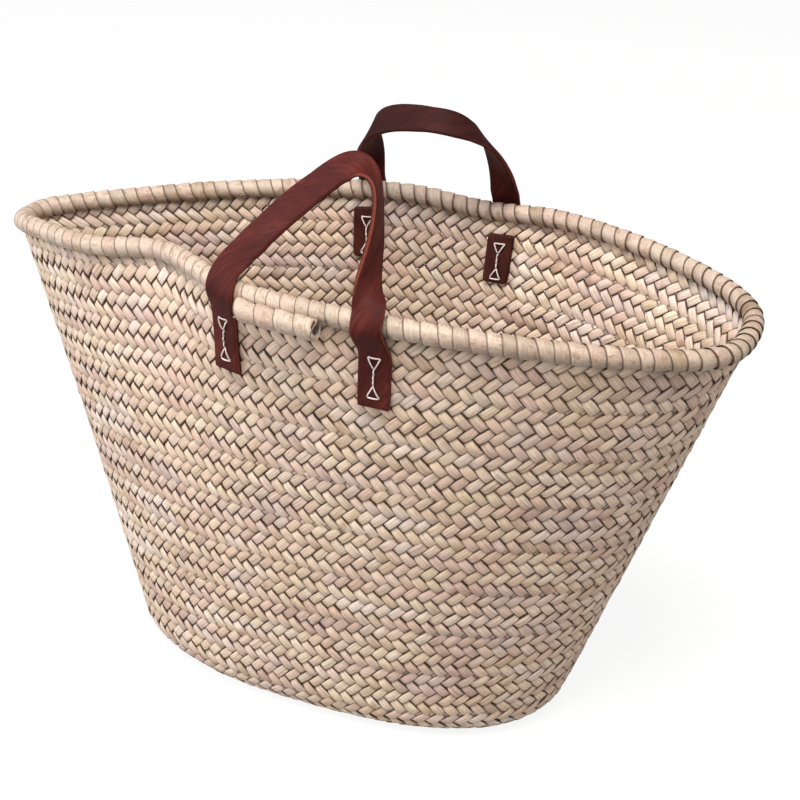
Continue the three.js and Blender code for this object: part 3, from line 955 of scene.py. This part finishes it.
# Leather straps: each handle is one strap, sewn to the wall at both ends and free between them.
strap = {
    "width": 0.022,
    "thickness": 0.0035,
    "gap": 0.0024,
    "lean": math.radians(36),
    "straight": 0.009,
    "crease": 0.018,
    "tabLength": 0.042,
    "seat": 0.0026,
    "edgeWander": 0.0004,
    "bendReach": 0.008,
    "step": 0.0018,
    "smoothing": 0.0055,
    "tabStops": 5,
    "bendStops": 6,
    "bendStart": -0.35,
    "bendPast": 0.05,
    "legStops": (0.4, 1.0),
    "curveSteps": 20,
    "edgeKnots": 40,
    "seed": 17,
    # Half of the cross-section, in shares of the half width and the half thickness. The rest mirrors it.
    "halfSection": [
        (-1, -0.55), (-1, 0), (-1, 0.55), (-0.955, 0.95), (-0.82, 1), (-0.5, 1), (-0.17, 1), (0.17, 1),
        (0.5, 1), (0.82, 1), (0.955, 0.95),
    ],
}
# Each handle's side of the bag, its two ends, and its route between them. A route's row is a place along the
# handle as a share of its length, a rise and an offset in mm, and the direction of the strap's width.
handles = [
    {
        "name": "front", "side": -1,
        "left": {"x": -0.043, "sewnX": -0.046, "drop": 0.0},
        "right": {"x": 0.0645, "sewnX": 0.0695, "drop": 0.0},
        "route": [
            (-0.424, 28.5, -5.5, -0.91, 0.41, 0), (-0.246, 54, -2, -0.83, 0.55, -0.11),
            (-0.079, 76.5, -1.5, -0.73, 0.68, -0.1), (0.122, 96, 0.5, -0.22, 0.94, -0.25),
            (0.294, 88, -2, -0.33, 0.34, -0.88), (0.386, 59, -3, -0.14, 0.09, -0.99),
            (0.427, 24, -4.5, 0.36, -0.1, -0.92),
        ],
    },
    {
        "name": "rear", "side": 1,
        "left": {"x": -0.045, "sewnX": -0.0455, "drop": 0.0},
        "right": {"x": 0.0615, "sewnX": 0.066, "drop": 0.004},
        "route": [
            (-0.482, 24, -4, -0.88, 0.17, 0.44), (-0.395, 70, 2, -0.18, -0.06, 0.98),
            (-0.221, 90, 1, 0.04, -0.1, 0.99), (0.075, 97, 1, 0.07, 0.04, 1),
            (0.276, 91, -1, 0.26, 0.13, 0.96), (0.422, 73.5, -3, 0.65, 0.3, 0.7),
            (0.481, 38.5, -4, 0.89, 0.22, 0.4),
        ],
    },
]
ends = ("left", "right")
spread = np.linspace(-0.5, 0.5, 13)


def sheetNormal(across, angle):
    alongTurn = sheetPoint(across, angle + turnStep) - sheetPoint(across, angle - turnStep)
    acrossTurn = sheetPoint(across + mm, angle) - sheetPoint(across - mm, angle)
    return unit(np.cross(alongTurn, acrossTurn))


def offSheet(across, angle, offset):
    return sheetPoint(across, angle) + sheetNormal(across, angle) * np.asarray(offset)[..., None]


# A seat on the wall that clears its bulge over a width: middle and direction of the width.
def wallSeat(across, x, side, offset, width):
    row = offSheet(np.full(len(spread), across), sideAngle(x + width * spread, side), offset)
    along = unit(row[-1] - row[0])
    facing = unit(np.cross(along, wallDirection(np.array(sideAngle(x, side)))))
    facing = facing * -side * math.copysign(1, offset)
    middle = row[len(row) // 2]
    return middle + facing * max((row - middle) @ facing), along, facing


def strapLeg(x, side):
    row = rimPoint(sideAngle(x + strap["width"] * spread, side))
    along = unit((row[-1] - row[0]) * (1, 1, 0))
    outward = np.cross(zAxis, along) * side
    middle = row[len(row) // 2]
    centre = middle + outward * max((row - middle) @ outward)
    reach = rim["radius"] + strap["gap"] + strap["thickness"] / 2
    anchor = centre + outward * reach * math.cos(strap["lean"]) + zAxis * reach * math.sin(strap["lean"])
    return {"centre": centre, "outward": outward, "along": along, "reach": reach, "anchor": anchor}


def handleFrame(handle):
    left, right = (strapLeg(handle[end]["x"], handle["side"]) for end in ends)
    along = right["anchor"] - left["anchor"]
    spacing = float(np.linalg.norm(along))
    along = along / spacing
    inward = unit(np.cross(zAxis, along)) * -handle["side"]
    rise = inward * math.sin(strap["lean"]) + zAxis * math.cos(strap["lean"])
    rise = unit(rise - along * float(rise @ along))
    return {
        "left": left, "right": right, "along": along, "spacing": spacing, "rise": rise,
        "normal": np.cross(along, rise), "middle": (left["anchor"] + right["anchor"]) / 2,
    }


# Points on a Catmull-Rom curve through the given ones.
def curvePoints(points, steps):
    points = np.asarray(points, float)
    padded = np.concatenate([[2 * points[0] - points[1]], points, [2 * points[-1] - points[-2]]])
    t = np.linspace(0, len(points) - 1, steps + 1)
    first = np.minimum(t.astype(int), len(points) - 2)
    f = (t - first)[:, None]
    p0, p1, p2, p3 = padded[first], padded[first + 1], padded[first + 2], padded[first + 3]
    return p1 + 0.5 * f * ((p2 - p0) + f * ((2 * p0 - 5 * p1 + 4 * p2 - p3) + f * (3 * (p1 - p2) + p3 - p0)))


# One sewn end, from its lower end on the wall up to the hinge line.
def tabRoute(handle, place, end):
    leg, sewn = place[end], handle[end]
    points, widths = [], []
    wallOffset = strap["seat"] + strap["thickness"] / 2
    for share in np.linspace(0, 1, strap["tabStops"]):
        below = strap["crease"] + sewn["drop"] + strap["tabLength"] * (1 - share) - shape["underRim"]
        seat = wallSeat(fullWidth - below, sewn["sewnX"], handle["side"], wallOffset, strap["width"])
        points.append(seat[0])
        widths.append(seat[1])
    for share in np.linspace(0, 1, strap["bendStops"]):
        turn = strap["bendStart"] + share * (strap["lean"] + strap["bendPast"])
        offset = leg["outward"] * math.cos(turn) + zAxis * math.sin(turn)
        points.append(leg["centre"] + leg["reach"] * offset)
        widths.append(leg["along"] * (1 - share) + place["along"] * share)
    return points[:-1], widths[:-1]


def loopRoute(handle, place):
    along, rise, normal = place["along"], place["rise"], place["normal"]
    legs = [[place[end]["anchor"] + rise * strap["straight"] * s for s in strap["legStops"]] for end in ends]
    points, widths = [], []
    for share, high, off, wAlong, wRise, wNormal in handle["route"]:
        offset = along * share * place["spacing"] + rise * high * mm + normal * off * mm
        points.append(place["middle"] + offset)
        widths.append(along * wAlong + rise * wRise + normal * wNormal)
    return legs[0] + points + legs[1][::-1], [-along] * 2 + widths + [along] * 2


# Evens out a line of points, each with its neighbours, and leaves both ends where they are.
def softened(line, step):
    reach = int(3 * strap["smoothing"] / step)
    weights = np.exp(-0.5 * (np.arange(-reach, reach + 1) * step / strap["smoothing"]) ** 2)
    weights = weights / weights.sum()
    before = 2 * line[0] - line[reach:0:-1]
    after = 2 * line[-1] - line[-2:-reach - 2:-1]
    padded = np.concatenate([before, line, after])
    return np.stack([np.convolve(padded[:, axis], weights, "valid") for axis in range(3)], -1)


def makeStrap(handle, material):
    place = handleFrame(handle)
    leftPoints, leftWidths = tabRoute(handle, place, "left")
    rightPoints, rightWidths = tabRoute(handle, place, "right")
    loopPoints, loopWidths = loopRoute(handle, place)
    route = leftPoints + loopPoints + rightPoints[::-1]
    widths = [-width for width in leftWidths] + loopWidths + rightWidths[::-1]
    fine, fineWidths = (curvePoints(line, (len(route) - 1) * strap["curveSteps"]) for line in (route, widths))
    reach = runningLength(fine)
    stops = np.linspace(0, reach[-1], int(reach[-1] / strap["step"]) + 1)
    middle, aside = (
        softened(np.stack([np.interp(stops, reach, line[:, axis]) for axis in range(3)], -1), stops[1])
        for line in (fine, fineWidths)
    )
    along = unit(np.gradient(middle, axis=0))
    aside = unit(aside - along * (aside * along).sum(-1, keepdims=True))
    through = np.cross(along, aside)
    lengths = runningLength(middle)
    halfSection = np.array(strap["halfSection"])
    section = np.concatenate([halfSection, -halfSection])
    chance = np.random.default_rng(strap["seed"] + handle["side"])
    knots = np.linspace(0, lengths[-1], strap["edgeKnots"])
    wander = np.interp(lengths, knots, chance.uniform(-1, 1, len(knots))) * strap["edgeWander"]
    half = strap["width"] / 2 + wander
    besides = section[None, :, 0] * half[:, None]
    points = middle[:, None] + aside[:, None] * besides[..., None]
    points = points + through[:, None] * (section[:, 1] * strap["thickness"] / 2)[None, :, None]
    name = handle["name"]
    thing = meshObject(f"{name}_strap", points, tubeFaces(len(middle), len(section)))
    spots = np.stack(np.broadcast_arrays(lengths[:, None], besides, section[None, :, 1]), -1)
    storeVector(thing, "strap", spots)
    nodes = [f"{name}_handle_loop", f"{name}_strap_tab_left", f"{name}_strap_tab_right"]
    finishPiece(thing, material, None, nodes)
    hinge = place["middle"]
    start = Vector(hinge - place["rise"] * strap["bendReach"])
    end = Vector(hinge + place["rise"] * strap["bendReach"])
    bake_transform(thing)


# Backing patches: a slab of leather inside the wall behind each sewn end.
patch = {
    "length": 0.042,
    "rise": 0.0045,
    "thickness": 0.003,
    "seat": 0.0026,
    "stepsAlong": 24,
    "stepsAcross": 14,
    "crowding": (0.75, 0.8),
    "edgePowers": (16, 30),
    "edgeThinning": 0.35,
    "cornerPower": 8,
    "cornerCut": 0.05,
    "toneSpread": 10,
    "toneSide": 0.9,
}


# A grid of points on each face of the slab, with soft edges.
def makePatch(handle, end, material):
    x, side = handle[end]["sewnX"], handle["side"]
    upper = fullWidth + shape["underRim"] - strap["crease"] - handle[end]["drop"] + patch["rise"]
    u = np.linspace(-1, 1, patch["stepsAcross"] + 1)
    v = np.linspace(-1, 1, patch["stepsAlong"] + 1)
    across, along = np.meshgrid(*(signedPower(line, power) for line, power in zip((u, v), patch["crowding"])))
    nearEdge = sum(np.abs(line) ** power for line, power in zip((across, along), patch["edgePowers"]))
    shrink = 1 - patch["cornerCut"] * np.abs(across * along) ** patch["cornerPower"]
    height = upper - patch["length"] / 2 + along * shrink * patch["length"] / 2
    angle = sideAngle(x + across * shrink * strap["width"] / 2, side)
    mid = patch["seat"] + patch["thickness"] / 2
    half = patch["thickness"] / 2 * (1 - patch["edgeThinning"] * np.clip(nearEdge, 0, 1))
    outer, inner = offSheet(height, angle, -(mid - half)), offSheet(height, angle, -(mid + half))
    rows, columns = across.shape
    count = rows * columns
    outerFaces = gridFaces(rows, columns)
    faces = outerFaces + [tuple(count + i for i in reversed(face)) for face in outerFaces]
    edge = list(range(columns)) + [r * columns + columns - 1 for r in range(1, rows)]
    edge += [(rows - 1) * columns + c for c in range(columns - 2, -1, -1)]
    edge += [r * columns for r in range(rows - 2, 0, -1)]
    faces += [(a, a + count, b + count, b) for a, b in zip(edge, edge[1:] + edge[:1])]
    thing = meshObject(f"{handle['name']}_patch_{end}", [outer, inner], faces)
    faceOut(thing)
    alongPatch = along * patch["length"] / 2 + x * patch["toneSpread"]
    spots = np.stack([alongPatch, across * strap["width"] / 2, 0 * along + patch["toneSide"]], -1)
    storeVector(thing, "strap", [spots, spots])
    finishPiece(thing, material, "basket", [f"{handle['name']}_backing_patch_{end}"])


def faceOut(thing):
    work = bmesh.new()
    work.from_mesh(thing.data)
    bmesh.ops.recalc_face_normals(work, faces=work.faces)
    work.to_mesh(thing.data)
    work.free()


# White thread: a triangle, short stitches in a line, and a triangle again.
stitch = {
    "radius": 0.00055,
    "width": 0.0090,
    "length": 0.031,
    "drop": 0.003,
    "triangle": 0.0092,
    "bulge": 0.0006,
    "dive": 0.0012,
    "steps": 10,
    "sides": 7,
    "straight": 3,
    "tipWander": 0.0004,
    "lineWander": 0.0005,
    "diveRate": 8,
    "ply": 0.0014,
    "seed": 40,
}


def stitchLines(chance):
    half, wide, tall = stitch["length"] / 2, stitch["width"] / 2, stitch["triangle"]
    lines = []
    for sign in (1, -1):
        tip = (chance.uniform(-stitch["tipWander"], stitch["tipWander"]), sign * (half - tall))
        corners = [(-wide, sign * half), (wide, sign * half)]
        lines += [(corners[0], corners[1]), (corners[1], tip), (tip, corners[0])]
    levels = np.linspace(-(half - tall), half - tall, stitch["straight"] + 1)
    for pair in zip(levels[:-1], levels[1:]):
        lines.append([(chance.uniform(-stitch["lineWander"], stitch["lineWander"]), level) for level in pair])
    return lines


def makeStitching(handle, end, face, material):
    x, side = handle[end]["sewnX"], handle["side"]
    crease = fullWidth + shape["underRim"] - strap["crease"] - handle[end]["drop"]
    middle = crease - stitch["drop"] - stitch["length"] / 2
    chance = np.random.default_rng(stitch["seed"] + int(abs(x) * 1000) + side * 3 + (face == "outer") * 11)
    sign = 1 if face == "outer" else -1
    width = strap["width"] if face == "outer" else stitch["width"]
    top = strap["seat"] + strap["thickness"] if face == "outer" else patch["seat"] + patch["thickness"]
    points, faces, marks = [], [], []
    share = np.linspace(0, 1, stitch["steps"] + 1)
    for (fromX, fromY), (toX, toY) in stitchLines(chance):
        high = stitch["bulge"] * np.sin(np.pi * share) + stitch["radius"] * 0.5
        fromEnd = np.minimum(share, 1 - share)
        high = high - stitch["dive"] * np.clip(1 - fromEnd * stitch["diveRate"], 0, 1)
        line = []
        for s, lift in zip(share, high):
            seat, along, facing = wallSeat(middle + fromY + (toY - fromY) * s, x, side, sign * top, width)
            line.append(seat + along * (fromX + (toX - fromX) * s) + facing * lift)
        line = np.array(line)
        direction = unit(np.gradient(line, axis=0))
        aside = unit(np.cross(direction, facing))
        faces += tubeFaces(len(line), stitch["sides"], len(points))
        rings, around = ringPoints(line, aside, np.cross(direction, aside), stitch["radius"], stitch["sides"])
        points.extend(rings)
        marks.extend([(length, a * stitch["radius"], 0.5) for length in runningLength(line) for a in around])
    thing = meshObject(f"{handle['name']}_thread_{end}_{face}", points, faces)
    faceOut(thing)
    storeVector(thing, "leaf", marks)
    finishPiece(thing, material, "basket", [f"{handle['name']}_stitching_{end}_{face}"])


# The rim's wide leaf: fibres run round the bundle, each turn has its own tint, a painted shadow where the
# next turn lies on it and painted shade along its own left edge.
paleLook = {
    "fibre": ((40, 1000, 53), 3, 0.7),
    "fine": ((160, 4000, 17), 2, 0.6),
    "blotch": ((90, 160, 29), 2, 0.6),
    "turnColours": [
        (0.0, (132, 112, 94)), (0.25, (154, 136, 120)), (0.5, (172, 154, 138)), (0.75, (164, 141, 127)),
        (1.0, (150, 133, 108)),
    ],
    "stain": (128, 98, 66),
    "stainDepth": 0.6,
    "shade": (72, 46, 26),
    "fibreDepth": 1.2,
    "fineDepth": 0.4,
    "shadowDepth": 0.55,
    "lipDepth": 0.8,
    "roughness": (0.42, 0.25),
    "bumpDepth": 0.0003,
    "bumpStrength": 0.7,
}


def paleLeafMaterial():
    look = paleLook
    material, tree, shader = newMaterial("paleLeaf")
    spot = spotOf(tree, "leaf")
    aside, tone = spot[1:]
    fibre, fine, blotch = (noise(tree, spot, look[name]) for name in ("fibre", "fine", "blotch"))
    colour = coloured(tree, tone, look["turnColours"])
    colour = mixed(tree, blotch.between(0.53, 0.68) * look["stainDepth"], colour, paint(*look["stain"]))
    shadow = 1 - attribute(tree, "edgeRoom")["Fac"].between(0.0001, 0.0009)
    # Painted shade: a dark line along each turn's exposed left edge.
    lipShade = 1 - aside.between(0.0003, 0.0011)
    light = 1.0 + (fibre - 0.5) * look["fibreDepth"] + (fine - 0.5) * look["fineDepth"]
    paintedShade = 1 - (1 - shadow * shadow * look["shadowDepth"]) * (1 - lipShade * look["lipDepth"])
    roughness = look["roughness"][0] + fibre * look["roughness"][1]
    colour = shaded(tree, colour, light, paintedShade, look)
    finishLook(tree, shader, colour, roughness, fibre * 0.8 + fine * 0.2, look)
    return material


# Dry brown leaves: the core's bundle, the cut end of the tail and the seam's cord.
coreLook = {
    "fibre": ((60, 2600, 19), 3, 0.7),
    "toneDepth": 0.4,
    "roughness": (0.7, 0.2),
    "bumpDepth": 0.0003,
    "bumpStrength": 0.8,
}


def coreLeafMaterial(name, dark, pale):
    look = coreLook
    material, tree, shader = newMaterial(name)
    spot = spotOf(tree, "leaf")
    fibre = noise(tree, spot, look["fibre"])
    colour = coloured(tree, fibre, [(0.3, dark), (0.7, pale)])
    colour = scaled(tree, colour, 0.8 + spot[2] * look["toneDepth"])
    finishLook(tree, shader, colour, look["roughness"][0] + fibre * look["roughness"][1], fibre, look)
    return material


# Leather: a slanting grain, cloudy tones, pores, a paler cut edge and a darker inner face.
leatherLook = {
    "slant": 0.5,
    "grain": ((70, 700, 0.7), 4, 0.65),
    "cloud": ((28, 55, 0.5), 3, 0.55),
    "pore": ((1100, 1500, 2), 2, 0.6),
    "scuff": ((90, 1300, 1), 3, 0.7),
    "grainShare": 0.45,
    "scuffDepth": 0.3,
    "cutDepth": 0.7,
    "poreDepth": 0.4,
    "specular": 0.12,
    "bumpDepth": 0.0004,
    "bumpStrength": 0.6,
}


def leatherMaterial(name, tones, rawEdge, innerDarkening):
    look = leatherLook
    material, tree, shader = newMaterial(name)
    along, aside, side = spotOf(tree, "strap")
    slanted = aside + along * look["slant"]
    grain, cloud = (noise(tree, (along, slanted, side), look[name]) for name in ("grain", "cloud"))
    pore = noise(tree, (along, aside, side), look["pore"])
    scuff = noise(tree, (along, slanted, side + 5.0), look["scuff"])
    tone = grain * look["grainShare"] + cloud * (1 - look["grainShare"])
    colour = coloured(tree, tone, zip((0.30, 0.5, 0.72), tones))
    colour = mixed(tree, scuff.between(0.62, 0.74) * look["scuffDepth"], colour, paint(*rawEdge))
    cut = 1 - side.size().between(0.62, 0.8)
    colour = mixed(tree, cut * look["cutDepth"], colour, paint(*rawEdge))
    # The strap's inner face is darkened by the given share.
    innerFace = 1 - side.between(-0.5, 0.5)
    light = (1 - look["poreDepth"] / 2 + pore * look["poreDepth"]) * (1 - innerFace * innerDarkening)
    height = grain * 0.5 + pore * 0.25 + scuff * 0.25
    finishLook(tree, shader, scaled(tree, colour, light), 0.55 + grain * 0.2 + cut * 0.2, height, look)
    setInput(shader, "Specular IOR Level", look["specular"])
    return material


# Sewing thread: two plies twisted round each other, lighter on the plies and darker in the grooves between
# them as painted shade.
threadLook = {
    "fuzz": ((900, 2500, 1), 2, 0.6),
    "colours": [(0.1, (186, 164, 160)), (0.7, (240, 228, 226))],
    "bumpDepth": 0.0003,
    "bumpStrength": 0.8,
}


def threadMaterial():
    look = threadLook
    material, tree, shader = newMaterial("whiteThread")
    spot = spotOf(tree, "leaf")
    along, aside = spot[:2]
    ply = ((along / stitch["ply"] + aside / (math.pi * stitch["radius"])) * (2 * math.pi)).sine()
    fuzz = noise(tree, spot, look["fuzz"])
    # Painted shade and light: the ply wave darkens the colour in the grooves between the plies and lightens
    # it on their crowns.
    colour = coloured(tree, ply * 0.35 + 0.3 + fuzz * 0.3, look["colours"])
    finishLook(tree, shader, colour, 0.6 + fuzz * 0.2, ply * 0.7 + fuzz * 0.3, look)
    return material


paleLeaf = paleLeafMaterial()
coreLeaf = coreLeafMaterial("coreLeaf", (70, 48, 24), (150, 118, 72))
leafCord = coreLeafMaterial("leafCord", (96, 70, 42), (176, 142, 98))
brownLeather = leatherMaterial("brownLeather", [(38, 9, 8), (64, 20, 16), (96, 41, 33)], (116, 56, 43), 0.6)
darkLeather = leatherMaterial("darkLeather", [(34, 12, 9), (58, 24, 18), (84, 42, 31)], (100, 56, 43), 0.0)
whiteThread = threadMaterial()

makeRimWrap(paleLeaf)
makeRimCore(coreLeaf)
makeRimTail(paleLeaf, coreLeaf)
makeSeamCord(leafCord)
print("rim bound and turns sewn")
for handle in handles:
    makeStrap(handle, brownLeather)
    for end in ends:
        makePatch(handle, end, darkLeather)
        for face in ("outer", "inner"):
            makeStitching(handle, end, face, whiteThread)
print("handles sewn on")


# Studio: a pale floor and broad soft lights. Each lamp has a name, a place, a size, a power and a colour.
studio = {
    "floorSize": 6.0,
    "floorColour": (0.95, 0.95, 0.95),
    "floorGlow": (0.4, 0.39, 0.38),
    "floorWhite": 0.88,
    "worldLight": 0.3,
    "lampAim": (0, 0, 0.2),
    "lamps": [
        ("keyLamp", (-2.15, -1.0, 1.15), 1.1, 56.0, (0.91, 0.95, 1.0)),
        ("frontLamp", (-0.1, -1.9, 1.5), 0.9, 9.0, (1.0, 0.97, 0.96)),
        ("topLamp", (0.3, -0.7, 2.3), 1.0, 78.0, (1.0, 0.97, 0.93)),
        ("backLamp", (2.1, 0.7, 1.1), 1.2, 12.0, (1.0, 0.98, 1.0)),
    ],
}


def addStudio():
    scene = bpy.context.scene
    scene.view_settings.view_transform = "Standard"
    world = bpy.data.worlds.new("studioWorld")
    world.use_nodes = True
    tree = world.node_tree
    tree.nodes.clear()
    seen = add(tree, "ShaderNodeLightPath")["Is Camera Ray"]
    strength = seen * (1 - studio["worldLight"]) + studio["worldLight"]
    light = add(tree, "ShaderNodeBackground", None, {"Color": (1, 1, 1, 1), "Strength": strength})
    out = add(tree, "ShaderNodeOutputWorld")
    tree.links.new(light[0].socket, out.node.inputs["Surface"])
    scene.world = world
    for name, place, size, power, colour in studio["lamps"]:
        data = bpy.data.lights.new(name, "AREA")
        data.size = size
        data.energy = power
        data.color = colour
        thing = bpy.data.objects.new(name, data)
        place = Vector(place)
        toBag = Vector(studio["lampAim"]) - place
        thing.matrix_world = Matrix.Translation(place) @ toBag.to_track_quat("-Z", "Y").to_matrix().to_4x4()
        scene.collection.objects.link(thing)


def addFloor():
    half = studio["floorSize"] / 2
    corners = [(-half, -half, 0), (half, -half, 0), (half, half, 0), (-half, half, 0)]
    floor = meshObject("studioFloor", corners, [(0, 1, 2, 3)])
    material, tree, shader = newMaterial("studioFloor")
    setInput(shader, "Roughness", 1.0)
    cameraRay = add(tree, "ShaderNodeLightPath")["Is Camera Ray"]
    colour = mixed(tree, cameraRay, (*studio["floorGlow"], 1.0), (*studio["floorColour"], 1.0))
    setInput(shader, "Base Color", colour)
    seen = cameraRay * studio["floorWhite"]
    white = add(tree, "ShaderNodeEmission", None, {"Color": (1, 1, 1, 1), "Strength": 1.0})
    both = add(tree, "ShaderNodeMixShader", None, {"Fac": seen, 1: shader[0], 2: white[0]})
    out = [node for node in tree.nodes if node.type == "OUTPUT_MATERIAL"][0]
    tree.links.new(both[0].socket, out.inputs["Surface"])
    floor.data.materials.append(material)


addStudio()
addFloor()
print("studio set")
